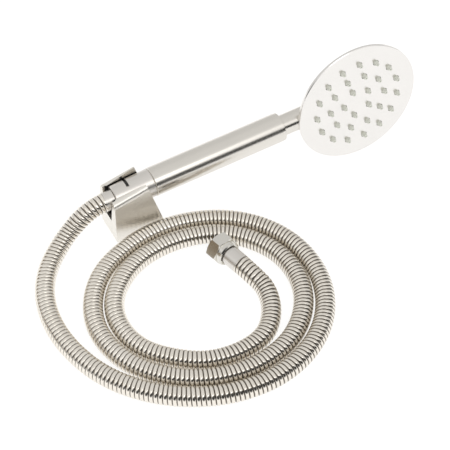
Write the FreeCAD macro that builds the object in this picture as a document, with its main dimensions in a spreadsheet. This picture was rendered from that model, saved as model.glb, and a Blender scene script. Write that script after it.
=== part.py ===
import FreeCAD, Part
import Sketcher
import math
import os
import re

# Hand shower set, millimetres, +Z up: a round shower head on a straight handle, seated by its
# conical hose nut in a wall bracket that lies on its back, with the whole hose in a loose flat
# coil beside it and a hexagon union nut on the free end.

V = FreeCAD.Vector
doc = FreeCAD.newDocument("hand_shower")

# ---------------------------------------------------------------- driving dimensions

DIMENSIONS = {
    # the handset's own frame: x runs along the handle, 0 under the middle of the head
    "head_x": 85.0,              # middle of the head in the row frame
    "axis_height": 54.32,        # handle axis above the table under the head
    "handset_pitch": 5.0,        # the handle rises towards the head
    "handset_roll": 4.1,         # the spray face looks a little upwards
    # head
    "head_radius": 55.0,
    "face_offset": 10.1,         # spray face ahead of the handle axis
    "plate_thick": 1.2,
    "rim_thick": 2.4,
    "head_depth": 5.6,
    "dome_radius": 44.0,
    "shell_wall": 1.2,
    "mat_radius": 47.0,
    "mat_thick": 0.9,
    "ring_inner": 12.8,
    "ring_middle": 25.6,
    "ring_outer": 38.5,
    "nozzle_root": 2.6,
    "nozzle_proud": 3.4,
    "nozzle_taper": 14.0,
    "nozzle_bore": 0.55,
    "nozzle_gap": 0.04,
    "inlet_radius": 5.0,
    "inlet_x": 20.0,
    # neck and handle
    "neck_radius": 8.9,
    "neck_wall": 1.2,
    "neck_tip": -8.0,
    "neck_root": -86.0,
    "ring_end": -68.0,
    "sleeve_end": -70.6,
    "seam": -186.7,
    "sleeve_radius": 12.3,
    "sleeve_wall": 1.2,
    "edge_break": 0.5,
    "pipe_radius": 6.9,
    "pipe_wall": 1.3,
    "pipe_start": -166.0,
    "pipe_end": -78.0,
    "seal_a": -84.0,
    "seal_b": -80.6,
    # G1/2 union between the handle and the hose, threads as plain walls at their pitch radius
    "thread_radius": 9.85,
    "thread_length": 12.0,
    "connector_end": -160.0,
    "connector_bore": 6.0,
    "regulator_start": -181.0,
    "regulator_length": 5.0,
    "regulator_hole": 1.6,
    "washer_thick": 2.4,
    "washer_radius": 9.3,
    "washer_hole": 5.6,
    "screen_thick": 0.5,
    "nut_small_end": -220.7,
    "nut_small_radius": 10.4,
    "nut_large_radius": 12.0,
    "nut_bore": 9.9,
    "nut_bore_end": -199.2,
    "nut_chamber": 9.6,
    "nut_shoulder": -212.8,
    "nut_tail_bore": 6.1,
    "slot_middle": -207.8,
    "slot_width": 2.4,
    "slot_floor": 7.2,
    "slot_turn": 25.0,
    "bush_length": 4.6,
    "bush_bore": 7.8,
    # hose and its upper end
    "hose_radius": 8.0,
    "hose_bore": 7.3,
    "exit_lead": 13.0,
    "ferrule_back": -229.0,
    "ferrule_front": -221.0,
    "shank_radius": 6.05,
    "flange_radius": 8.5,
    "flange_back": -212.5,
    "flange_thick": 1.6,
    "spigot_front": -201.5,
    "spigot_radius": 7.4,
    "spigot_bore": 3.0,
    # bracket
    "bracket_left": -140.0,
    "bracket_right": -96.0,
    "bracket_width": 29.6,
    "rim_left_height": 41.6,
    "mouth_x": -110.6,
    "mouth_height": 49.6,
    "bracket_wall": 2.0,
    "rim_round": 4.5,
    "plate_recess": 6.0,
    "liner_gap": 0.1,
    "liner_wall": 1.2,
    "slot_half_small": 7.9,
    "slot_half_large": 12.7,
    "window_bottom": 17.0,
    "window_half_low": 5.6,
    "window_half_high": 9.6,
    "block_top": 30.0,
    "notch_depth": 12.0,
    "wall_plate_thick": 2.5,
    "wall_hole_radius": 2.3,
    "wall_hole_spacing": 24.0,
    # free end: G1/2 hexagon union nut
    "hex_flats": 22.0,
    "hex_length": 10.5,
    "collar_radius": 10.4,
    "collar_length": 4.5,
    "hex_bore": 9.9,
    "hex_cavity": 10.5,
    "hex_chamfer": 1.27,
    "hex_tail_bore": 6.45,
    "collar_recess": 9.2,
    "recess_depth": 1.7,
    "lower_shank": 6.4,
    "lower_flange": 8.6,
    "hex_relief": 10.2,
    "hex_thread": 5.4,
    "lower_back": -28.6,
    "lower_front": -13.7,
    "union_washer_back": -8.1,
    "end_heading": 104.0,
    "end_height": 14.6,
    "end_x": -75.2,
    "end_y": -65.9,
    "end_lead": 12.0,
}

dims = doc.addObject("Spreadsheet::Sheet", "Dims")
for row, (alias, number) in enumerate(DIMENSIONS.items(), start=1):
    dims.set(f"A{row}", alias)
    dims.set(f"B{row}", str(number))
    dims.setAlias(f"B{row}", alias)
doc.recompute()


def size(expression):
    """The value of an expression written with the sheet's aliases."""
    return float(dims.evalExpression(expression))


# ---------------------------------------------------------------- frames

def frame_of(origin, *turns):
    """A placement at origin, turned by (axis, degrees) pairs, the last pair first."""
    rotation = FreeCAD.Rotation()
    for axis, degrees in turns:
        rotation = rotation.multiply(FreeCAD.Rotation(axis, degrees))
    return FreeCAD.Placement(origin, rotation)


X, Y, Z = V(1, 0, 0), V(0, 1, 0), V(0, 0, 1)
AXIS_ORIGIN = V(size("head_x"), 0, size("axis_height"))
SOCKET = frame_of(AXIS_ORIGIN, (Y, -size("handset_pitch")))
HANDSET = SOCKET.multiply(frame_of(V(), (X, -size("handset_roll"))))
# the head's frame: z is the way the water leaves, x points away from the handle
HEAD = HANDSET.multiply(frame_of(V(0, -size("face_offset"), 0), (X, 90)))
# the free end's frame: x runs out of the union nut's mouth
HOSE_END = frame_of(V(size("end_x"), size("end_y"), size("end_height")), (Z, size("end_heading")))

# ---------------------------------------------------------------- building helpers


def origin_plane(body, role):
    """The body's own origin plane with this role."""
    return next(item for item in body.Origin.OriginFeatures if item.Role == role)


def closed_outline(body, name, role, corners):
    """A sketch of straight edges through corners, each corner a pair of sheet expressions."""
    sketch = body.newObject("Sketcher::SketchObject", name)
    sketch.AttachmentSupport = [(origin_plane(body, role), "")]
    sketch.MapMode = "FlatFace"
    points = [V(size(across), size(up), 0) for across, up in corners]
    edges = [Part.LineSegment(a, b) for a, b in zip(points, points[1:] + points[:1])]
    sketch.addGeometry(edges, False)
    count = len(corners)
    for index in range(count):
        sketch.addConstraint(Sketcher.Constraint("Coincident", index, 2, (index + 1) % count, 1))
    for index, (across, up) in enumerate(corners):
        for kind, expression in (("DistanceX", across), ("DistanceY", up)):
            number = size(expression)
            place = sketch.addConstraint(Sketcher.Constraint(kind, -1, 1, index, 1, number))
            sketch.setExpression(f"Constraints[{place}]", with_sheet(expression))
    return sketch


def with_sheet(expression):
    """The expression with every alias written as a cell of the sheet."""
    words = re.split(r"([A-Za-z_]+)", expression)
    return "".join(f"Dims.{word}" if word in DIMENSIONS else word for word in words)


def circle_sketch(body, name, role, centre_x, radius):
    """A sketch of one circle on the x axis, both sizes sheet expressions."""
    sketch = body.newObject("Sketcher::SketchObject", name)
    sketch.AttachmentSupport = [(origin_plane(body, role), "")]
    sketch.MapMode = "FlatFace"
    sketch.addGeometry(Part.Circle(V(size(centre_x), 0, 0), Z, size(radius)), False)
    ring = sketch.addConstraint(Sketcher.Constraint("Radius", 0, size(radius)))
    sketch.setExpression(f"Constraints[{ring}]", with_sheet(radius))
    across = sketch.addConstraint(Sketcher.Constraint("DistanceX", -1, 1, 0, 3, size(centre_x)))
    sketch.setExpression(f"Constraints[{across}]", with_sheet(centre_x))
    sketch.addConstraint(Sketcher.Constraint("DistanceY", -1, 1, 0, 3, 0.0))
    return sketch


def turned(name, corners, placement):
    """A body turned about its x axis from an outline of (along, radius) corners."""
    body = doc.addObject("PartDesign::Body", name)
    outline = closed_outline(body, name + "_outline", "XY_Plane", corners)
    turn = body.newObject("PartDesign::Revolution", name + "_turn")
    turn.Profile = outline
    turn.ReferenceAxis = (outline, ["H_Axis"])
    turn.Angle = 360
    body.Placement = placement
    return body


def tube(name, start, end, outer, inner, placement):
    """A plain turned tube or, with inner 0, a plain turned rod."""
    corners = [(start, inner), (end, inner), (end, outer), (start, outer)]
    return turned(name, corners, placement)


def primitive(kind, name, placement, **sizes):
    """A Part primitive whose properties are bound to sheet expressions."""
    shape = doc.addObject("Part::" + kind, name)
    for key, expression in sizes.items():
        shape.setExpression(key, with_sheet(expression))
    shape.Placement = placement
    return shape


def rod_along_x(name, start, end, radius, placement):
    """A cylinder along the frame's x axis between two sheet expressions."""
    here = placement.multiply(frame_of(V(size(start), 0, 0), (Y, 90)))
    return primitive("Cylinder", name, here, Radius=radius, Height=f"({end}) - ({start})")


def cut(name, base, *tools):
    """The base less every tool."""
    result = doc.addObject("Part::Cut", name)
    result.Base = base
    result.Tool = tools[0] if len(tools) == 1 else fuse(name + "_tools", *tools)
    return result


def fuse(name, *shapes):
    """Several shapes joined into one."""
    result = doc.addObject("Part::MultiFuse", name)
    result.Shapes = list(shapes)
    return result


def common(name, first, second):
    """What two shapes share."""
    result = doc.addObject("Part::Common", name)
    result.Base = first
    result.Tool = second
    return result


# ---------------------------------------------------------------- shower head

# the head's axis frame: x the way the water leaves, y towards the handle
HEAD_AXIS = HEAD.multiply(frame_of(V(), (Y, -90), (X, 90)))
NOZZLE_RINGS = (("ring_inner", 5), ("ring_middle", 10), ("ring_outer", 15))


def patterned(body, feature, ring, count):
    """The feature repeated count times round the body's x axis."""
    pattern = body.newObject("PartDesign::PolarPattern", f"{feature.Name}_{ring}_round")
    pattern.Originals = [feature]
    pattern.Axis = (body.Origin.OriginFeatures[0], [""])
    pattern.Angle = 360
    pattern.Occurrences = count
    body.Tip = pattern


def drilled(body, radius):
    """A through hole in every nozzle place."""
    for ring, count in NOZZLE_RINGS:
        sketch = circle_sketch(body, f"{body.Name}_{ring}_hole", "YZ_Plane", ring, radius)
        hole = body.newObject("PartDesign::Pocket", f"{body.Name}_{ring}_drill")
        hole.Profile = sketch
        hole.Type = "ThroughAll"
        hole.Midplane = True
        patterned(body, hole, ring, count)


def make_spray_plate():
    """The flat stainless face with a turned-down rim and one hole for each nozzle."""
    plate = turned("spray_plate", [
        ("-plate_thick", "0"),
        ("0", "0"),
        ("0", "head_radius - edge_break"),
        ("-edge_break", "head_radius"),
        ("-rim_thick", "head_radius"),
        ("-rim_thick", "head_radius - plate_thick"),
        ("-plate_thick", "head_radius - plate_thick"),
    ], HEAD_AXIS)
    drilled(plate, "nozzle_root + nozzle_gap")
    return plate


def make_nozzle_mat():
    """The silicone mat behind the face, with a tapered nozzle through each hole."""
    mat = turned("nozzle_mat", [
        ("-plate_thick - mat_thick", "0"),
        ("-plate_thick", "0"),
        ("-plate_thick", "mat_radius"),
        ("-plate_thick - mat_thick", "mat_radius"),
    ], HEAD_AXIS)
    for ring, count in NOZZLE_RINGS:
        sketch = circle_sketch(mat, f"{ring}_root", "YZ_Plane", ring, "nozzle_root")
        sketch.setExpression("AttachmentOffset.Base.z", "-Dims.plate_thick")
        nozzle = mat.newObject("PartDesign::Pad", f"{ring}_nozzle")
        nozzle.Profile = sketch
        nozzle.setExpression("Length", "Dims.plate_thick + Dims.nozzle_proud")
        nozzle.setExpression("TaperAngle", "-Dims.nozzle_taper")
        patterned(mat, nozzle, ring, count)
    drilled(mat, "nozzle_bore")
    return mat


def make_back_shell():
    """The dished back of the head, with the water inlet under the neck."""
    dish = turned("shell_dish", [
        ("-head_depth", "0"),
        ("-head_depth", "dome_radius"),
        ("-rim_thick", "head_radius - plate_thick"),
        ("-plate_thick", "head_radius - plate_thick"),
        ("-plate_thick", "mat_radius"),
        ("-plate_thick - mat_thick", "mat_radius"),
        ("-plate_thick - mat_thick", "mat_radius - 2 * shell_wall"),
        ("shell_wall - head_depth", "dome_radius - shell_wall"),
        ("shell_wall - head_depth", "0"),
    ], HEAD_AXIS)
    here = HEAD_AXIS.multiply(frame_of(V(0, size("inlet_x"), 0)))
    inlet = rod_along_x("shell_inlet", "-2 * head_depth", "-plate_thick - mat_thick",
                        "inlet_radius", here)
    return cut("back_shell", dish, inlet)


def make_neck_tube():
    """The neck: a tube with a closed end, cut away where it lies on the back of the head."""
    blank = turned("neck_blank", [
        ("neck_root", "neck_radius - neck_wall"),
        ("neck_root", "neck_radius"),
        ("neck_tip - 0.5 * neck_radius", "neck_radius"),
        ("neck_tip", "0.5 * neck_radius"),
        ("neck_tip", "0"),
        ("neck_tip - neck_wall", "0"),
        ("neck_tip - neck_wall", "0.5 * neck_radius - 0.5 * neck_wall"),
        ("neck_tip - 0.5 * neck_radius - neck_wall", "neck_radius - neck_wall"),
    ], HANDSET)
    envelope = turned("neck_seat", [
        ("-head_depth", "0"),
        ("-head_depth", "dome_radius"),
        ("-rim_thick", "head_radius - plate_thick"),
        ("-rim_thick", "head_radius"),
        ("head_depth", "head_radius"),
        ("head_depth", "0"),
    ], HEAD_AXIS)
    return cut("neck_tube", blank, envelope)


make_spray_plate()
make_nozzle_mat()
make_back_shell()
make_neck_tube()

# ---------------------------------------------------------------- handle


def make_handle():
    """The sleeve, its front ring, the water pipe inside and the threaded connector."""
    turned("handle_sleeve", [
        ("seam", "sleeve_radius - sleeve_wall"),
        ("seam", "sleeve_radius - edge_break"),
        ("seam + edge_break", "sleeve_radius"),
        ("sleeve_end", "sleeve_radius"),
        ("sleeve_end", "sleeve_radius - sleeve_wall"),
    ], HANDSET)
    turned("sleeve_ring", [
        ("sleeve_end - 4 * edge_break", "neck_radius"),
        ("sleeve_end - 4 * edge_break", "sleeve_radius - sleeve_wall"),
        ("sleeve_end", "sleeve_radius - sleeve_wall"),
        ("sleeve_end", "sleeve_radius - 0.5 * edge_break"),
        ("ring_end - edge_break", "sleeve_radius - 0.5 * edge_break"),
        ("ring_end", "sleeve_radius - 2 * edge_break"),
        ("ring_end", "neck_radius"),
    ], HANDSET)
    tube("inner_pipe", "pipe_start", "pipe_end", "pipe_radius", "pipe_radius - pipe_wall", HANDSET)
    turned("thread_connector", [
        ("seam - thread_length", "connector_bore"),
        ("seam - thread_length", "thread_radius"),
        ("seam", "thread_radius"),
        ("seam", "sleeve_radius - sleeve_wall"),
        ("connector_end", "sleeve_radius - sleeve_wall"),
        ("connector_end", "pipe_radius"),
        ("pipe_start", "pipe_radius"),
        ("pipe_start", "connector_bore"),
    ], HANDSET)
    seals = []
    for place in ("seal_a", "seal_b"):
        here = HANDSET.multiply(frame_of(V(size(place), 0, 0), (Y, 90)))
        seals.append(primitive("Torus", place + "_ring", here,
                               Radius1="pipe_radius + 0.5 * (neck_radius - neck_wall - pipe_radius)",
                               Radius2="0.5 * (neck_radius - neck_wall - pipe_radius)"))
    group = doc.addObject("Part::Compound", "pipe_seals")
    group.Links = seals


def make_flow_parts():
    """The flow regulator in the connector, and the filter washer with its screen."""
    turned("flow_regulator", [
        ("regulator_start", "regulator_hole"),
        ("regulator_start", "connector_bore"),
        ("regulator_start + 0.3 * regulator_length", "connector_bore"),
        ("regulator_start + 0.3 * regulator_length", "0.85 * connector_bore"),
        ("regulator_start + 0.6 * regulator_length", "0.85 * connector_bore"),
        ("regulator_start + 0.6 * regulator_length", "connector_bore"),
        ("regulator_start + regulator_length", "connector_bore"),
        ("regulator_start + regulator_length", "2 * regulator_hole"),
    ], HANDSET)
    washer_back = "seam - thread_length - washer_thick"
    tube("filter_washer", washer_back, "seam - thread_length", "washer_radius", "washer_hole",
         HANDSET)
    tube("filter_screen", f"{washer_back} + screen_thick", f"{washer_back} + 2 * screen_thick",
         "washer_hole", "0", HANDSET)


def make_cone_nut():
    """The conical hose nut, with the clip slot across its back."""
    blank = turned("nut_blank", [
        ("nut_small_end", "nut_tail_bore"),
        ("nut_small_end", "nut_small_radius - edge_break"),
        ("nut_small_end + edge_break", "nut_small_radius"),
        ("seam - edge_break", "nut_large_radius"),
        ("seam", "nut_large_radius - edge_break"),
        ("seam", "nut_bore"),
        ("nut_bore_end", "nut_bore"),
        ("nut_bore_end", "nut_chamber"),
        ("nut_shoulder", "nut_chamber"),
        ("nut_shoulder", "nut_tail_bore"),
    ], HANDSET)
    turn = HANDSET.multiply(frame_of(V(), (X, -size("slot_turn"))))
    corner = V(size("slot_middle - 0.5 * slot_width"), -size("nut_large_radius"), size("slot_floor"))
    slot = primitive("Box", "nut_slot", turn.multiply(frame_of(corner)), Length="slot_width",
                     Width="2 * nut_large_radius", Height="nut_large_radius")
    return cut("cone_nut", blank, slot)


make_handle()
make_flow_parts()
make_cone_nut()
tube("swivel_bush", "slot_middle - 0.5 * bush_length", "slot_middle + 0.5 * bush_length",
     "nut_chamber", "bush_bore", HANDSET)

# ---------------------------------------------------------------- hose ends


def make_upper_hose_end():
    """The spigot that swivels in the cone nut, and the ferrule crimped behind it."""
    turned("upper_spigot", [
        ("ferrule_back", "spigot_bore"),
        ("ferrule_back", "shank_radius"),
        ("flange_back", "shank_radius"),
        ("flange_back", "flange_radius"),
        ("flange_back + flange_thick", "flange_radius"),
        ("flange_back + flange_thick", "spigot_radius"),
        ("spigot_front", "spigot_radius"),
        ("spigot_front", "spigot_bore"),
    ], SOCKET)
    tube("upper_ferrule", "ferrule_back", "ferrule_front", "hose_radius", "shank_radius", SOCKET)


def make_lower_hose_end():
    """The free end: spigot and ferrule, loose hexagon union nut and its washer."""
    turned("lower_spigot", [
        ("lower_back", "spigot_bore"),
        ("lower_back", "lower_shank"),
        ("0.3 - hex_cavity", "lower_shank"),
        ("0.3 - hex_cavity", "lower_flange"),
        ("0.3 - hex_cavity + flange_thick", "lower_flange"),
        ("0.3 - hex_cavity + flange_thick", "spigot_bore"),
    ], HOSE_END)
    turned("lower_ferrule", [
        ("lower_back", "lower_shank"),
        ("lower_back", "hose_radius"),
        ("lower_front - edge_break", "hose_radius"),
        ("lower_front", "hose_radius - edge_break"),
        ("lower_front", "lower_shank"),
    ], HOSE_END)
    tube("union_washer", "union_washer_back", "union_washer_back + washer_thick",
         "hex_relief", "washer_hole", HOSE_END)
    # one flat lies on the table, so the prism's corners point sideways
    upright = HOSE_END.multiply(frame_of(V(-size("hex_length"), 0, 0), (Y, 90)))
    prism = doc.addObject("Part::Prism", "hex_prism")
    prism.Polygon = 6
    prism.setExpression("Circumradius", "Dims.hex_flats / sqrt(3)")
    prism.setExpression("Height", "Dims.hex_length")
    prism.Placement = upright.multiply(frame_of(V(), (Z, 90)))
    chamfer = turned("hex_chamfers", [
        ("-hex_length", "0"),
        ("-hex_length", "0.5 * hex_flats"),
        ("-hex_length + hex_chamfer", "0.6 * hex_flats"),
        ("-hex_chamfer", "0.6 * hex_flats"),
        ("0", "0.5 * hex_flats"),
        ("0", "0"),
    ], HOSE_END)
    hexagon = common("hex_head", prism, chamfer)
    collar = turned("hex_collar", [
        ("-hex_length - collar_length", "hex_tail_bore"),
        ("-hex_length - collar_length", "collar_radius - 2 * edge_break"),
        ("-hex_length - collar_length + 2 * edge_break", "collar_radius"),
        ("-hex_length - edge_break", "collar_radius"),
        ("edge_break - hex_length", "collar_radius"),
        ("edge_break - hex_length", "hex_tail_bore"),
    ], HOSE_END)
    thread = rod_along_x("hex_thread_rod", "-hex_cavity", "1", "hex_bore", HOSE_END)
    relief = rod_along_x("hex_relief_rod", "-hex_cavity", "-hex_thread", "hex_relief", HOSE_END)
    tail = rod_along_x("hex_tail_rod", "-hex_length - collar_length - 1", "0", "hex_tail_bore",
                       HOSE_END)
    mouth = "-hex_length - collar_length"
    recess = rod_along_x("hex_recess_rod", f"{mouth} - 1", f"{mouth} + recess_depth",
                         "collar_recess", HOSE_END)
    cut("hex_nut", fuse("hex_solid", hexagon, collar), thread, relief, tail, recess)


make_upper_hose_end()
make_lower_hose_end()

# ---------------------------------------------------------------- wall bracket

MOUTH_LEAN = "(bracket_right - mouth_x) / mouth_height"


def padded(name, corners, width):
    """A body of constant width across y, from an outline in the xz plane."""
    body = doc.addObject("PartDesign::Body", name)
    outline = closed_outline(body, name + "_outline", "XZ_Plane", corners)
    pad = body.newObject("PartDesign::Pad", name + "_pad")
    pad.Profile = outline
    pad.Midplane = True
    pad.setExpression("Length", with_sheet(width))
    return body


def socket_cone(name, extra):
    """The nut's cone carried on past both ends of the socket, grown by extra."""
    slope = "(nut_large_radius - nut_small_radius) / (seam - nut_small_end)"
    start = "nut_small_end - 10"
    here = SOCKET.multiply(frame_of(V(size(start), 0, 0), (Y, 90)))
    return primitive("Cone", name, here,
                     Radius1=f"nut_small_radius - 10 * {slope} + {extra}",
                     Radius2=f"nut_large_radius + 10 * {slope} + {extra}",
                     Height="seam - nut_small_end + 20")


def socket_slot(name):
    """The slot that lets the hose out of the front of the socket, wider at the mouth."""
    slot = doc.addObject("Part::Wedge", name)
    bounds = {
        "Ymin": "0", "Ymax": "seam - nut_small_end + 20",
        "Xmin": "-slot_half_small", "Xmax": "slot_half_small",
        "X2min": "-slot_half_large", "X2max": "slot_half_large",
        "Zmin": "0", "Zmax": "2 * sleeve_radius", "Z2min": "0", "Z2max": "2 * sleeve_radius",
    }
    for key, expression in bounds.items():
        slot.setExpression(key, with_sheet(expression))
    slot.Placement = SOCKET.multiply(frame_of(V(size("nut_small_end - 10"), 0, 0), (Z, -90)))
    return slot


def end_window(name, depth, top):
    """The tapered window in the left face, carried depth into the socket."""
    window = doc.addObject("Part::Wedge", name)
    half_top = f"window_half_low + (window_half_high - window_half_low) * ({top} - window_bottom)"
    half_top += " / (rim_left_height - window_bottom)"
    bounds = {
        "Ymin": "window_bottom", "Ymax": top,
        "Xmin": "-window_half_low", "Xmax": "window_half_low",
        "X2min": f"-({half_top})", "X2max": half_top,
        "Zmin": "-1", "Zmax": depth, "Z2min": "-1", "Z2max": depth,
    }
    for key, expression in bounds.items():
        window.setExpression(key, with_sheet(expression))
    window.Placement = frame_of(V(size("bracket_left"), 0, 0), (X, 90), (Y, 90))
    return window


def rounded_block():
    """The outside of the bracket: a leaning block with its two long top edges rounded."""
    block = padded("bracket_block", [
        ("bracket_left", "0"),
        ("bracket_right", "0"),
        ("mouth_x", "mouth_height"),
        ("bracket_left", "rim_left_height"),
    ], "bracket_width")
    doc.recompute()
    rounding = doc.addObject("Part::Fillet", "bracket_outside")
    rounding.Base = block
    half = size("0.5 * bracket_width")
    radius = size("rim_round")
    long_edges = []
    for index, edge in enumerate(block.Shape.Edges, start=1):
        ends = [vertex.Point for vertex in edge.Vertexes]
        high = min(point.z for point in ends) > size("rim_left_height") - 1
        along = abs(ends[0].y - ends[1].y) < 0.01 and abs(abs(ends[0].y) - half) < 0.01
        if high and along:
            long_edges.append((index, radius, radius))
    rounding.Edges = long_edges
    return rounding


def make_bracket():
    """The metal bracket, its black plastic lining and the plate that fixes it to a wall."""
    inner_left = "bracket_left + bracket_wall"
    inner_right = "bracket_right - 2 * bracket_wall"
    inner_width = "bracket_width - 2 * bracket_wall"
    outside = rounded_block()
    hollow = padded("bracket_hollow", [
        (inner_left, "0"),
        (inner_right, "0"),
        (f"{inner_right} - {MOUTH_LEAN} * block_top", "block_top"),
        (inner_left, "block_top"),
    ], inner_width)
    past_wall = padded("past_left_wall", [
        (inner_left, "0"),
        ("bracket_right + 10", "0"),
        ("bracket_right + 10", "2 * mouth_height"),
        (inner_left, "2 * mouth_height"),
    ], "bracket_width")
    seat = common("liner_seat", socket_cone("seat_cone", "liner_gap + liner_wall"), past_wall)
    slot = socket_slot("socket_slot")
    window = end_window("body_window", "bracket_wall + 1", "2 * rim_left_height")
    cut("bracket_body", outside, hollow, seat, slot, window)

    filling = padded("liner_fill", [
        (inner_left, "plate_recess"),
        (f"{inner_right} - {MOUTH_LEAN} * plate_recess", "plate_recess"),
        (f"{inner_right} - {MOUTH_LEAN} * block_top", "block_top"),
        (inner_left, "block_top"),
    ], inner_width)
    blank = fuse("liner_blank", filling, common("liner_sleeve", seat, outside))
    notch = end_window("liner_notch", "bracket_wall + notch_depth", "block_top")
    cut("socket_liner", blank, socket_cone("socket_bore", "liner_gap"), slot, notch)

    plate = padded("plate_blank", [
        (inner_left, "0"),
        (inner_right, "0"),
        (f"{inner_right} - {MOUTH_LEAN} * wall_plate_thick", "wall_plate_thick"),
        (inner_left, "wall_plate_thick"),
    ], inner_width)
    screws = []
    for side, sign in (("left", "-"), ("right", "+")):
        middle = "0.5 * (bracket_left + bracket_right) - bracket_wall"
        here = frame_of(V(size(f"{middle} {sign} 0.5 * wall_hole_spacing"), 0, -1))
        screws.append(primitive("Cylinder", f"wall_hole_{side}", here,
                                Radius="wall_hole_radius", Height="2 * wall_plate_thick"))
    cut("wall_plate", plate, *screws)


make_bracket()

# ---------------------------------------------------------------- hose

# the loose coil between the two straight leads: down to the table, an outer turn, an inner turn
# and the short way back to the union nut
ROUTE = (
    (-180, -2, 14), (-208, -26, 8), (-222, -61, 8), (-222, -102, 8), (-207, -145, 8),
    (-174, -180, 8), (-131, -200, 8), (-82, -200, 8), (-39, -176, 8), (-15, -135, 8),
    (-15, -85, 8), (-41, -44, 8), (-84, -24, 8), (-131, -26, 8), (-174, -48, 8), (-197, -91, 8),
    (-189.5, -138, 8), (-157, -172, 8), (-112, -186.5, 8), (-65, -175.5, 8), (-33, -138.5, 8),
    (-30, -90.5, 8), (-58, -51.5, 8), (-101, -39, 8), (-145, -48, 8), (-177.5, -81, 8),
    (-177, -127, 8), (-143.5, -159, 8), (-115, -167.5, 8), (-84.5, -163, 8), (-67, -144, 8),
    (-60, -122, 10),
)


def hose_path():
    """Straight runs through the route joined by tangent arcs, and the arcs' radii."""
    corners = [SOCKET.multVec(V(size(place), 0, 0))
               for place in ("ferrule_back", "ferrule_back - exit_lead")]
    corners += [V(*point) for point in ROUTE]
    corners += [HOSE_END.multVec(V(size(place), 0, 0))
                for place in ("lower_back - end_lead", "lower_back")]
    edges = []
    radii = []
    here = corners[0]
    for before, corner, after in zip(corners, corners[1:], corners[2:]):
        back = before - corner
        ahead = after - corner
        reach = 0.45 * min(back.Length, ahead.Length)
        half_turn = 0.5 * (math.pi - back.getAngle(ahead))
        radius = reach / math.tan(half_turn)
        back.normalize()
        ahead.normalize()
        arc_start = corner + back * reach
        arc_end = corner + ahead * reach
        inward = (back + ahead).normalize()
        summit = corner + inward * (radius / math.cos(half_turn) - radius)
        edges.append(Part.LineSegment(here, arc_start).toShape())
        edges.append(Part.Arc(arc_start, summit, arc_end).toShape())
        radii.append(radius)
        here = arc_end
    edges.append(Part.LineSegment(here, corners[-1]).toShape())
    return Part.Wire(edges), radii


def make_hose():
    """The hose as one tube along the route; returns its path's length."""
    path, radii = hose_path()
    first = path.Edges[0]
    start = first.Vertexes[0].Point
    ahead = first.tangentAt(first.FirstParameter)
    rims = [Part.Wire(Part.makeCircle(size(radius), start, ahead))
            for radius in ("hose_radius", "hose_bore")]
    hose = doc.addObject("Part::Feature", "hose")
    hose.Shape = path.makePipe(Part.makeFace(rims, "Part::FaceMakerBullseye"))
    print("bend radii, mm:", ", ".join(f"{radius:.0f}" for radius in radii))
    return path.Length


hose_length = make_hose()

# ---------------------------------------------------------------- checks and files

NODES = (
    "spray_plate", "nozzle_mat", "back_shell", "neck_tube", "sleeve_ring", "handle_sleeve",
    "inner_pipe", "pipe_seals", "thread_connector", "flow_regulator", "filter_washer",
    "filter_screen", "cone_nut", "swivel_bush", "upper_spigot", "upper_ferrule", "hose",
    "lower_ferrule", "lower_spigot", "hex_nut", "union_washer", "bracket_body", "socket_liner",
    "wall_plate",
)

doc.recompute()
for item in doc.Objects:
    faults = [state for state in item.State if state in ("Invalid", "Error")]
    if faults:
        raise RuntimeError(f"{item.Name}: {faults}")

hose_volume = doc.getObject("hose").Shape.Volume
section = math.pi * (size("hose_radius") ** 2 - size("hose_bore") ** 2)
print(f"hose: {hose_length:.1f} mm, volume / (section x length) {hose_volume / section / hose_length:.4f}")

os.makedirs("parts", exist_ok=True)
for name in NODES:
    node = doc.getObject(name)
    node.Label = name
    if node.Shape.isNull() or not node.Shape.isValid():
        raise RuntimeError(f"{name}: shape is not valid")
    node.Shape.exportStep(f"parts/{name}.step")
    box = node.Shape.BoundBox
    print(f"{name:18} solids {len(node.Shape.Solids):2}  volume {node.Shape.Volume:9.0f}"
          f"  x {box.XMin:7.2f} {box.XMax:7.2f}  y {box.YMin:7.2f} {box.YMax:7.2f}"
          f"  z {box.ZMin:6.2f} {box.ZMax:6.2f}")
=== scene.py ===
import math
import bpy
import bmesh
from mathutils import Matrix, Vector


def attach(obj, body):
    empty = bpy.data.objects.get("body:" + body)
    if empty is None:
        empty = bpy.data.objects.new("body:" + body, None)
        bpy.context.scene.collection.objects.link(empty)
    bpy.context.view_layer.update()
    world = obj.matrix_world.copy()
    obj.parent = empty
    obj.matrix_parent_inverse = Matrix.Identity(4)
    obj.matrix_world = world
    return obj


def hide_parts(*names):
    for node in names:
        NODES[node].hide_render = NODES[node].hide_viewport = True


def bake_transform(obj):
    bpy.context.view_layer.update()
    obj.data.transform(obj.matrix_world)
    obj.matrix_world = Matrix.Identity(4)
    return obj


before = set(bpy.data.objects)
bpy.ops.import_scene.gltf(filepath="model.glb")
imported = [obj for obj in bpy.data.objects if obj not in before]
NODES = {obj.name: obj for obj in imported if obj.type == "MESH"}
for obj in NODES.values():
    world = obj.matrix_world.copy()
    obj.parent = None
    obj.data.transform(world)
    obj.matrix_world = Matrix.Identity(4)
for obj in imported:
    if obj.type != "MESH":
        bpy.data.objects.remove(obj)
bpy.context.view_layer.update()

# ---------------------------------------------------------------- sizes, in metres

HEAD_X = 0.085
AXIS_HEIGHT = 0.05432
PITCH = math.radians(5)
HOSE_RADIUS = 0.008
END_PLACE = Vector((-0.0752, -0.0659, 0.0146))
END_HEADING = math.radians(104)
# where the hose leaves each ferrule, along that end's own axis, and its straight start there
FERRULE_BACK = -0.229
LOWER_BACK = -0.0286
EXIT_LEAD = 0.013
END_LEAD = 0.012


def turned_frame(place, angle, axis):
    """A matrix at place, turned by angle, in radians, about the axis of that letter."""
    return Matrix.Translation(place) @ Matrix.Rotation(angle, 4, axis)


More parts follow.
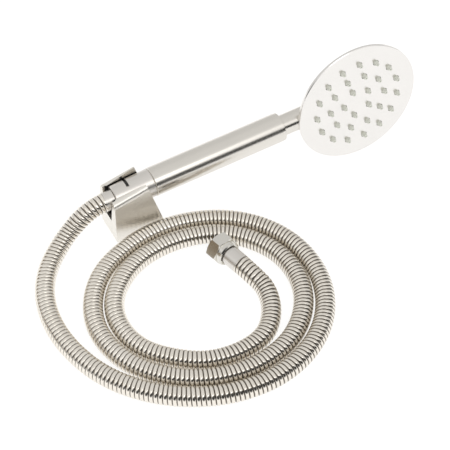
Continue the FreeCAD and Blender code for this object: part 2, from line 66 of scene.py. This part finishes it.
SOCKET = turned_frame((HEAD_X, 0, AXIS_HEIGHT), -PITCH, "Y")
HOSE_END = turned_frame(END_PLACE, END_HEADING, "Z")

# ---------------------------------------------------------------- camera

CAMERA_PLACE = Vector((-0.4600, -0.8221, 0.9472))
CAMERA_AIM = Vector((-0.0459, -0.0228, -0.0182))
CAMERA_LENS = 126.5


def make_camera():
    """The camera: from the near left, 47 degrees above the table."""
    data = bpy.data.cameras.new("view")
    data.lens = CAMERA_LENS
    data.sensor_width = 36
    data.clip_start = 0.05
    data.clip_end = 20
    camera = bpy.data.objects.new("view", data)
    bpy.context.scene.collection.objects.link(camera)
    camera.location = CAMERA_PLACE
    camera.rotation_mode = "QUATERNION"
    camera.rotation_quaternion = (CAMERA_AIM - CAMERA_PLACE).to_track_quat("-Z", "Y")
    bpy.context.scene.camera = camera


make_camera()

# ---------------------------------------------------------------- materials


class Value:
    """A shader socket that takes ordinary sums."""

    def __init__(self, graph, socket):
        self.graph = graph
        self.socket = socket

    def maths(self, operation, *others):
        return self.graph.maths(operation, self, *others)

    def __add__(self, other):
        return self.maths("ADD", other)

    def __radd__(self, other):
        return self.maths("ADD", other)

    def __sub__(self, other):
        return self.maths("SUBTRACT", other)

    def __rsub__(self, other):
        return self.graph.maths("SUBTRACT", other, self)

    def __mul__(self, other):
        return self.maths("MULTIPLY", other)

    def __rmul__(self, other):
        return self.maths("MULTIPLY", other)

    def __truediv__(self, other):
        return self.maths("DIVIDE", other)

    def __rtruediv__(self, other):
        return self.graph.maths("DIVIDE", other, self)

    def __mod__(self, other):
        return self.maths("FLOORED_MODULO", other)

    def __lt__(self, other):
        return self.maths("LESS_THAN", other)

    def __gt__(self, other):
        return self.maths("GREATER_THAN", other)


class Graph:
    """A new node material with one Principled surface."""

    def __init__(self, name, **surface):
        self.material = bpy.data.materials.new(name)
        self.material.use_nodes = True
        self.tree = self.material.node_tree
        self.shader = self.tree.nodes["Principled BSDF"]
        for key, setting in surface.items():
            self.shader.inputs[key.replace("_", " ")].default_value = setting

    def node(self, kind, settings=None, output=0, **inputs):
        """Adds a node of this kind and returns one of its outputs."""
        node = self.tree.nodes.new("ShaderNode" + kind)
        for key, setting in (settings or {}).items():
            setattr(node, key, setting)
        for key, given in inputs.items():
            self.feed(node.inputs[key.replace("_", " ")], given)
        return Value(self, node.outputs[output])

    def maths(self, operation, *terms):
        node = self.tree.nodes.new("ShaderNodeMath")
        node.operation = operation
        for place, term in zip(node.inputs, terms):
            self.feed(place, term)
        return Value(self, node.outputs[0])

    def feed(self, place, given):
        if isinstance(given, Value):
            self.tree.links.new(given.socket, place)
        else:
            place.default_value = given

    def surface(self, key, given):
        """Links a value to the surface's input."""
        self.feed(self.shader.inputs[key], given)

    def place(self):
        """Position on the piece, in its own coordinates."""
        return self.node("TexCoord", output=3)

    def noise(self, scale, detail=3.0, roughness=0.55, where=None):
        return self.node("TexNoise", output=0, Vector=where or self.place(), Scale=scale,
                         Detail=detail, Roughness=roughness)

    def stretched(self, along, across):
        """Coordinates squeezed along the first axis, for a grain that runs round the piece."""
        return self.node("Mapping", Vector=self.place(), Scale=(along, across, across))

    def blend(self, factor, first, second):
        """A colour between two, by the factor."""
        node = self.tree.nodes.new("ShaderNodeMix")
        node.data_type = "RGBA"
        for place, given in zip((0, 6, 7), (factor, first, second)):
            self.feed(node.inputs[place], given)
        return Value(self, node.outputs[2])

    def ramp(self, value, low, high):
        """value brought from 0..1 to low..high."""
        return self.node("MapRange", Value=value, To_Min=low, To_Max=high)

    def bump(self, height, strength, distance):
        self.surface("Normal", self.node("Bump", Height=height, Strength=strength,
                                         Distance=distance))


def darker(colour, share):
    """The colour with its brightness brought down to that share."""
    return tuple(share * part for part in colour[:3]) + (1.0,)


def satin(name, colour, roughness, grain, bump=0.05):
    """Satin nickel: a fine grain round the piece, faint cloudy patches and a little bump."""
    graph = Graph(name, Metallic=1.0)
    lines = graph.noise(grain, 4.0, 0.6, graph.stretched(6.0, 0.35))
    clouds = graph.noise(38.0, 3.0)
    graph.surface("Base Color", graph.blend(graph.ramp(clouds, 0.0, 1.0),
                                            darker(colour, 0.93), colour))
    graph.surface("Roughness", graph.ramp(lines, 0.8 * roughness, 1.15 * roughness)
                  + graph.ramp(clouds, -0.02, 0.03))
    graph.bump(lines, bump, 0.0001)
    return graph.material


def moulded(name, colour, roughness, spread=0.25):
    """Plastic or rubber with a fine moulded texture."""
    graph = Graph(name)
    grain = graph.noise(900.0, 4.0)
    patches = graph.noise(60.0, 2.0)
    graph.surface("Base Color", graph.blend(patches, darker(colour, 1 - spread), colour))
    graph.surface("Roughness", graph.ramp(grain, roughness - 0.08, roughness + 0.08))
    graph.bump(grain, 0.12, 0.0001)
    return graph.material


def machined_brass(name):
    """Bare brass with turning marks."""
    graph = Graph(name, Metallic=1.0)
    marks = graph.noise(500.0, 3.0, 0.6, graph.stretched(5.0, 0.4))
    graph.surface("Base Color", graph.blend(marks, (0.56, 0.42, 0.2, 1), (0.8, 0.64, 0.34, 1)))
    graph.surface("Roughness", graph.ramp(marks, 0.2, 0.38))
    graph.bump(marks, 0.1, 0.0001)
    return graph.material


def woven_screen(name):
    """A fine steel mesh."""
    graph = Graph(name, Metallic=0.9)
    place = graph.place()
    wires = graph.node("TexWave", {"bands_direction": "Y"}, output=1, Vector=place, Scale=600.0)
    across = graph.node("TexWave", {"bands_direction": "Z"}, output=1, Vector=place, Scale=600.0)
    mesh = wires * across
    graph.surface("Base Color", graph.blend(mesh, (0.08, 0.08, 0.08, 1), (0.6, 0.6, 0.58, 1)))
    graph.surface("Roughness", graph.ramp(mesh, 0.6, 0.35))
    graph.bump(mesh, 0.4, 0.0002)
    return graph.material


def ribbed_metal(name):
    """The hose's strip metal: bright bands with painted shade, a near-black brown line in each
    groove and at each band's lip.
    """
    graph = Graph(name, Metallic=1.0)
    place = graph.node("SeparateXYZ", Vector=graph.node("UVMap"))
    turn = place % 1.0
    # painted shade: the groove and lip masks mark where the rib's hollows fall into shade
    groove = graph.node("MapRange", {"interpolation_type": "SMOOTHSTEP"}, Value=turn,
                        From_Min=0.05, From_Max=0.24, To_Min=1.0, To_Max=0.0)
    lip = graph.node("MapRange", {"interpolation_type": "SMOOTHSTEP"}, Value=turn,
                     From_Min=0.86, From_Max=0.98, To_Min=0.0, To_Max=1.0)
    dark = graph.maths("MAXIMUM", groove, lip)
    clouds = graph.noise(45.0, 3.0)
    scratches = graph.noise(700.0, 3.0)
    band = graph.blend(clouds, (0.83, 0.775, 0.69, 1), (0.90, 0.86, 0.79, 1))
    # painted shade: under the masks the band colour goes to near-black brown, and the roughness
    # rises there too
    graph.surface("Base Color", graph.blend(dark * 0.92, band, (0.045, 0.028, 0.016, 1)))
    graph.surface("Roughness", graph.ramp(scratches, 0.1, 0.18) + dark * 0.25)
    graph.bump(scratches, 0.05, 0.0001)
    return graph.material


SATIN = (0.765, 0.735, 0.685, 1.0)
FACE = satin("satin_face", (0.86, 0.84, 0.815, 1.0), 0.22, 300.0)
SLEEVE = satin("satin_sleeve", SATIN, 0.23, 420.0)
NECK = satin("satin_neck", SATIN, 0.2, 420.0)
NUT = satin("satin_nut", (0.76, 0.73, 0.69, 1.0), 0.33, 420.0)
HEX = satin("satin_hex", (0.76, 0.74, 0.69, 1.0), 0.15, 300.0, bump=0.02)
BRACKET = satin("satin_bracket", (0.88, 0.85, 0.79, 1.0), 0.34, 350.0, bump=0.0)
HOSE = ribbed_metal("hose")
SILICONE = moulded("silicone", (0.76, 0.77, 0.69, 1.0), 0.35, 0.12)
BLACK = moulded("black_plastic", (0.018, 0.017, 0.016, 1.0), 0.42)
WHITE = moulded("white_plastic", (0.75, 0.75, 0.73, 1.0), 0.35, 0.06)
RUBBER = moulded("black_rubber", (0.03, 0.03, 0.03, 1.0), 0.65)
BRASS = machined_brass("brass")
SCREEN = woven_screen("screen")

NODE_MATERIALS = {
    "spray_plate": FACE, "nozzle_mat": SILICONE, "back_shell": NECK, "neck_tube": NECK,
    "sleeve_ring": NECK, "handle_sleeve": SLEEVE, "inner_pipe": WHITE, "pipe_seals": RUBBER,
    "thread_connector": BRASS, "flow_regulator": WHITE, "filter_washer": RUBBER,
    "filter_screen": SCREEN, "cone_nut": NUT, "swivel_bush": BLACK, "upper_spigot": BRASS,
    "upper_ferrule": NUT, "hose": HOSE, "lower_ferrule": NUT, "lower_spigot": BRASS,
    "hex_nut": HEX, "union_washer": RUBBER, "bracket_body": BRACKET, "socket_liner": BLACK,
    "wall_plate": BLACK,
}
for name, material in NODE_MATERIALS.items():
    NODES[name].data.materials.clear()
    NODES[name].data.materials.append(material)

# ---------------------------------------------------------------- hose

# the loose coil between the two straight leads, in metres
ROUTE = (
    (-0.1800, -0.0020, 0.014), (-0.2080, -0.0260, 0.008), (-0.2220, -0.0610, 0.008),
    (-0.2220, -0.1020, 0.008), (-0.2070, -0.1450, 0.008), (-0.1740, -0.1800, 0.008),
    (-0.1310, -0.2000, 0.008), (-0.0820, -0.2000, 0.008), (-0.0390, -0.1760, 0.008),
    (-0.0150, -0.1350, 0.008), (-0.0150, -0.0850, 0.008), (-0.0410, -0.0440, 0.008),
    (-0.0840, -0.0240, 0.008), (-0.1310, -0.0260, 0.008), (-0.1740, -0.0480, 0.008),
    (-0.1970, -0.0910, 0.008), (-0.1895, -0.1380, 0.008), (-0.1570, -0.1720, 0.008),
    (-0.1120, -0.1865, 0.008), (-0.0650, -0.1755, 0.008), (-0.0330, -0.1385, 0.008),
    (-0.0300, -0.0905, 0.008), (-0.0580, -0.0515, 0.008), (-0.1010, -0.0390, 0.008),
    (-0.1450, -0.0480, 0.008), (-0.1775, -0.0810, 0.008), (-0.1770, -0.1270, 0.008),
    (-0.1435, -0.1590, 0.008), (-0.1150, -0.1675, 0.008), (-0.0845, -0.1630, 0.008),
    (-0.0670, -0.1440, 0.008), (-0.0600, -0.1220, 0.010),
)


def hose_line():
    """Points along the hose's middle, read from a smooth curve through the route."""
    leads = [SOCKET @ Vector((along, 0, 0)) for along in (FERRULE_BACK, FERRULE_BACK - EXIT_LEAD)]
    ends = [HOSE_END @ Vector((along, 0, 0)) for along in (LOWER_BACK - END_LEAD, LOWER_BACK)]
    corners = [*leads, *map(Vector, ROUTE), *ends]
    data = bpy.data.curves.new("hose_route", "CURVE")
    data.dimensions = "3D"
    data.resolution_u = 40
    spline = data.splines.new("NURBS")
    spline.points.add(len(corners) - 1)
    for point, corner in zip(spline.points, corners):
        point.co = (*corner, 1)
    spline.order_u = 3
    spline.use_endpoint_u = True
    route = bpy.data.objects.new("hose_route", data)
    bpy.context.scene.collection.objects.link(route)
    bpy.context.view_layer.update()
    line = bpy.data.meshes.new_from_object(route)
    points = [vertex.co.copy() for vertex in line.vertices]
    bpy.data.meshes.remove(line)
    bpy.data.objects.remove(route)
    bpy.data.curves.remove(data)
    return points


def spaced(points, step):
    """The same line as evenly spaced (point, tangent, side) frames that don't twist."""
    lengths = [0.0]
    for before, after in zip(points, points[1:]):
        lengths.append(lengths[-1] + (after - before).length)
    count = round(lengths[-1] / step)
    frames = []
    span = 0
    side = None
    for index in range(count + 1):
        along = min(lengths[-1] * index / count, lengths[-1] - 1e-9)
        while lengths[span + 1] < along:
            span += 1
        share = (along - lengths[span]) / (lengths[span + 1] - lengths[span])
        place = points[span].lerp(points[span + 1], share)
        first = points[max(span - 1, 0)]
        last = points[min(span + 2, len(points) - 1)]
        chord = points[span + 1] - points[span]
        tangent = ((points[span] - first).lerp(last - points[span + 1], share) + chord).normalized()
        side = side or tangent.cross(Vector((0, 0, 1)))
        side = (side - tangent * side.dot(tangent)).normalized()
        frames.append((place, tangent, side))
    return frames, lengths[-1]


RIB_PITCH = 0.0034
# (share of the pitch, how far below the crest in rib heights): one interlocked band
RIB_PROFILE = ((0.0, 1.0), (0.09, 0.62), (0.19, 0.12), (0.42, 0.0), (0.72, 0.05), (0.9, 0.42))
RIB_HEIGHT = 0.0011
HOSE_SIDES = 34
# whole turns of the helix in the short run out of the upper ferrule, where its skin is split from
# the coil's
RUN_TURNS = 34
# the middle line's frames are this far apart; the stride takes every fifth one, in slices that
# nothing uses
LINE_STEP = 0.0004
PATH_STRIDE = 5
# the skin is a plain full-size tube for this share of a pitch inside each ferrule's mouth
PLAIN_END = 0.3


def hose_rows(frames, length):
    """Rings of (point, turn) round the middle line: each ring runs on one turn of the helix."""
    turns = math.floor(length / RIB_PITCH)
    pitch = length / turns
    rows = []
    for turn in range(-1, turns + 1):
        for share, depth in RIB_PROFILE:
            ring = []
            for side in range(HOSE_SIDES):
                angle = 2 * math.pi * side / HOSE_SIDES
                along = min(max((turn + share) * pitch + pitch * side / HOSE_SIDES, 0), length)
                place = along / length * (len(frames) - 1)
                index = min(int(place), len(frames) - 2)
                here, tangent, across = frames[index]
                middle = here.lerp(frames[index + 1][0], place - index)
                up = tangent.cross(across)
                open_end = min(along, length - along) < PLAIN_END * pitch
                radius = HOSE_RADIUS - (0 if open_end else depth * RIB_HEIGHT)
                point = middle + radius * (math.cos(angle) * across + math.sin(angle) * up)
                ring.append((point, turn + share))
            rows.append(ring)
    return rows


def hose_skin(name, rows, first, last):
    """The stretch of the ribbed skin between two of the rows."""
    mesh = bmesh.new()
    corners = {}
    uv = mesh.loops.layers.uv.new("UVMap")
    for index in range(first, min(last, len(rows) - 1)):
        for side in range(HOSE_SIDES):
            wrapped = side == HOSE_SIDES - 1
            ahead = index + len(RIB_PROFILE) if wrapped else index
            if ahead + 1 >= len(rows):
                continue
            other = 0 if wrapped else side + 1
            places = ((index, side), (index + 1, side), (ahead + 1, other), (ahead, other))
            for row, column in places:
                if (row, column) not in corners:
                    corners[row, column] = mesh.verts.new(rows[row][column][0])
            face = mesh.faces.new([corners[place] for place in places])
            low, high = rows[index][side][1], rows[index + 1][side][1]
            for loop, phase in zip(face.loops, (low, high, high, low)):
                loop[uv].uv = (phase + 2, side / HOSE_SIDES)
            face.smooth = True
    bmesh.ops.dissolve_degenerate(mesh, edges=mesh.edges[:], dist=1e-6)
    data = bpy.data.meshes.new(name)
    mesh.to_mesh(data)
    mesh.free()
    skin = bpy.data.objects.new(name, data)
    bpy.context.scene.collection.objects.link(skin)
    data.materials.append(HOSE)
    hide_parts("hose")
    return skin


def make_hose():
    """The ribbed hose, in two skins: a short run out of the upper ferrule, baked in place, and the
    coil, attached to the bracket.
    """
    frames, length = spaced(hose_line(), LINE_STEP)
    rows = hose_rows(frames, length)
    cut = (RUN_TURNS + 1) * len(RIB_PROFILE)
    split = round(len(frames) * RUN_TURNS * RIB_PITCH / length)
    middle = [place for place, _, _ in frames]
    run = hose_skin("hose_run", rows, 0, cut)
    coil = hose_skin("hose_coil", rows, cut, len(rows))
    middle[:split:PATH_STRIDE] + [middle[split]]
    middle[split::PATH_STRIDE] + [middle[-1]]
    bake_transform(run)
    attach(coil, "bracket")


make_hose()

# ---------------------------------------------------------------- stage and light


def plain(name, colour, glow):
    """A matt stage material that can also give some light."""
    return Graph(name, Base_Color=colour, Roughness=0.6, Emission_Color=(1, 1, 1, 1),
                 Emission_Strength=glow).material


def card(name, corners, material):
    """A flat stage card that shows only in mirrored reflections."""
    data = bpy.data.meshes.new(name)
    data.from_pydata(corners, [], [tuple(range(len(corners)))])
    data.materials.append(material)
    sheet = bpy.data.objects.new(name, data)
    bpy.context.scene.collection.objects.link(sheet)
    sheet.visible_camera = False
    sheet.visible_shadow = False
    sheet.visible_diffuse = False
    return sheet


def make_stage():
    """A white table, a dark edge in front that bright metal mirrors as a line, and a small brown
    one at the left for the union nut's near facet."""
    reach, top = 6, -0.0004
    table = card("table", [(-reach, -reach, top), (reach, -reach, top), (reach, reach, top),
                           (-reach, reach, top)], plain("white_table", (0.3, 0.3, 0.3, 1), 0.82))
    table.visible_camera = True
    table.visible_diffuse = True
    black = plain("black_edge", (0.01, 0.01, 0.01, 1), 0.0)
    card("front_edge", [(-0.7, -0.43, 0.05), (0.7, -0.43, 0.05), (0.7, -0.43, 0.28),
                        (-0.7, -0.43, 0.28)], black)
    card("left_edge", [(-0.45, -0.05, 0.0), (-0.45, 0.16, 0.0), (-0.45, 0.16, 0.1),
                       (-0.45, -0.05, 0.1)], plain("brown_edge", (0.26, 0.2, 0.13, 1), 0.0))


# brightness of the room against elevation in degrees
FRONT_SKY = ((-90, 0.8), (-2, 0.6), (4, 0.45), (20, 0.5), (31, 0.85), (42, 0.95), (52, 0.92),
             (64, 0.72), (90, 0.72))
BACK_SKY = ((-90, 0.85), (0, 0.72), (10, 0.64), (50, 0.66), (90, 0.72))


def area_light(name, place, aim, size, power):
    """A square soft light."""
    data = bpy.data.lights.new(name, "AREA")
    data.size = size
    data.energy = power
    lamp = bpy.data.objects.new(name, data)
    bpy.context.scene.collection.objects.link(lamp)
    lamp.location = place
    lamp.rotation_mode = "QUATERNION"
    lamp.rotation_quaternion = (Vector(aim) - Vector(place)).to_track_quat("-Z", "Y")


def sky_band(nodes, name, stops):
    """A ramp over the height of the sky, from stops of (elevation in degrees, brightness)."""
    ramp = nodes.new("ShaderNodeValToRGB")
    ramp.name = name
    places = [0.5 + 0.5 * math.sin(math.radians(elevation)) for elevation, _ in stops]
    for element in list(ramp.color_ramp.elements)[1:]:
        ramp.color_ramp.elements.remove(element)
    for index, (place, (_, bright)) in enumerate(zip(places, stops)):
        element = ramp.color_ramp.elements[0] if index == 0 else ramp.color_ramp.elements.new(place)
        element.position = place
        element.color = (bright, 0.995 * bright, 0.985 * bright, 1)
    return ramp


def light_scene():
    """A white room: even light from behind and above, and a bright screen high in front."""
    world = bpy.data.worlds.new("studio")
    bpy.context.scene.world = world
    world.use_nodes = True
    nodes, links = world.node_tree.nodes, world.node_tree.links
    way = nodes.new("ShaderNodeTexCoord").outputs["Generated"]
    split = nodes.new("ShaderNodeSeparateXYZ")
    links.new(way, split.inputs[0])
    height = nodes.new("ShaderNodeMapRange")
    height.inputs["From Min"].default_value = -1
    links.new(split.outputs[2], height.inputs["Value"])
    front = sky_band(nodes, "front", FRONT_SKY)
    back = sky_band(nodes, "back", BACK_SKY)
    turned = nodes.new("ShaderNodeVectorMath")
    turned.operation = "DOT_PRODUCT"
    turned.inputs[1].default_value = (0.45, 0.89, 0)
    links.new(way, turned.inputs[0])
    facing = nodes.new("ShaderNodeMapRange")
    facing.interpolation_type = "SMOOTHSTEP"
    facing.inputs["From Min"].default_value = -0.12
    facing.inputs["From Max"].default_value = 0.1
    links.new(turned.outputs["Value"], facing.inputs["Value"])
    mixed = nodes.new("ShaderNodeMix")
    mixed.data_type = "RGBA"
    links.new(facing.outputs[0], mixed.inputs[0])
    for ramp, place in ((front, 6), (back, 7)):
        links.new(height.outputs[0], ramp.inputs[0])
        links.new(ramp.outputs[0], mixed.inputs[place])
    background = nodes["Background"]
    background.inputs["Strength"].default_value = 1.15
    links.new(mixed.outputs[2], background.inputs["Color"])
    area_light("front_screen", (-0.1, -2.0, 2.0), (0, 0, 0), 1.2, 5)
    bpy.context.scene.view_settings.view_transform = "Standard"


make_stage()
light_scene()
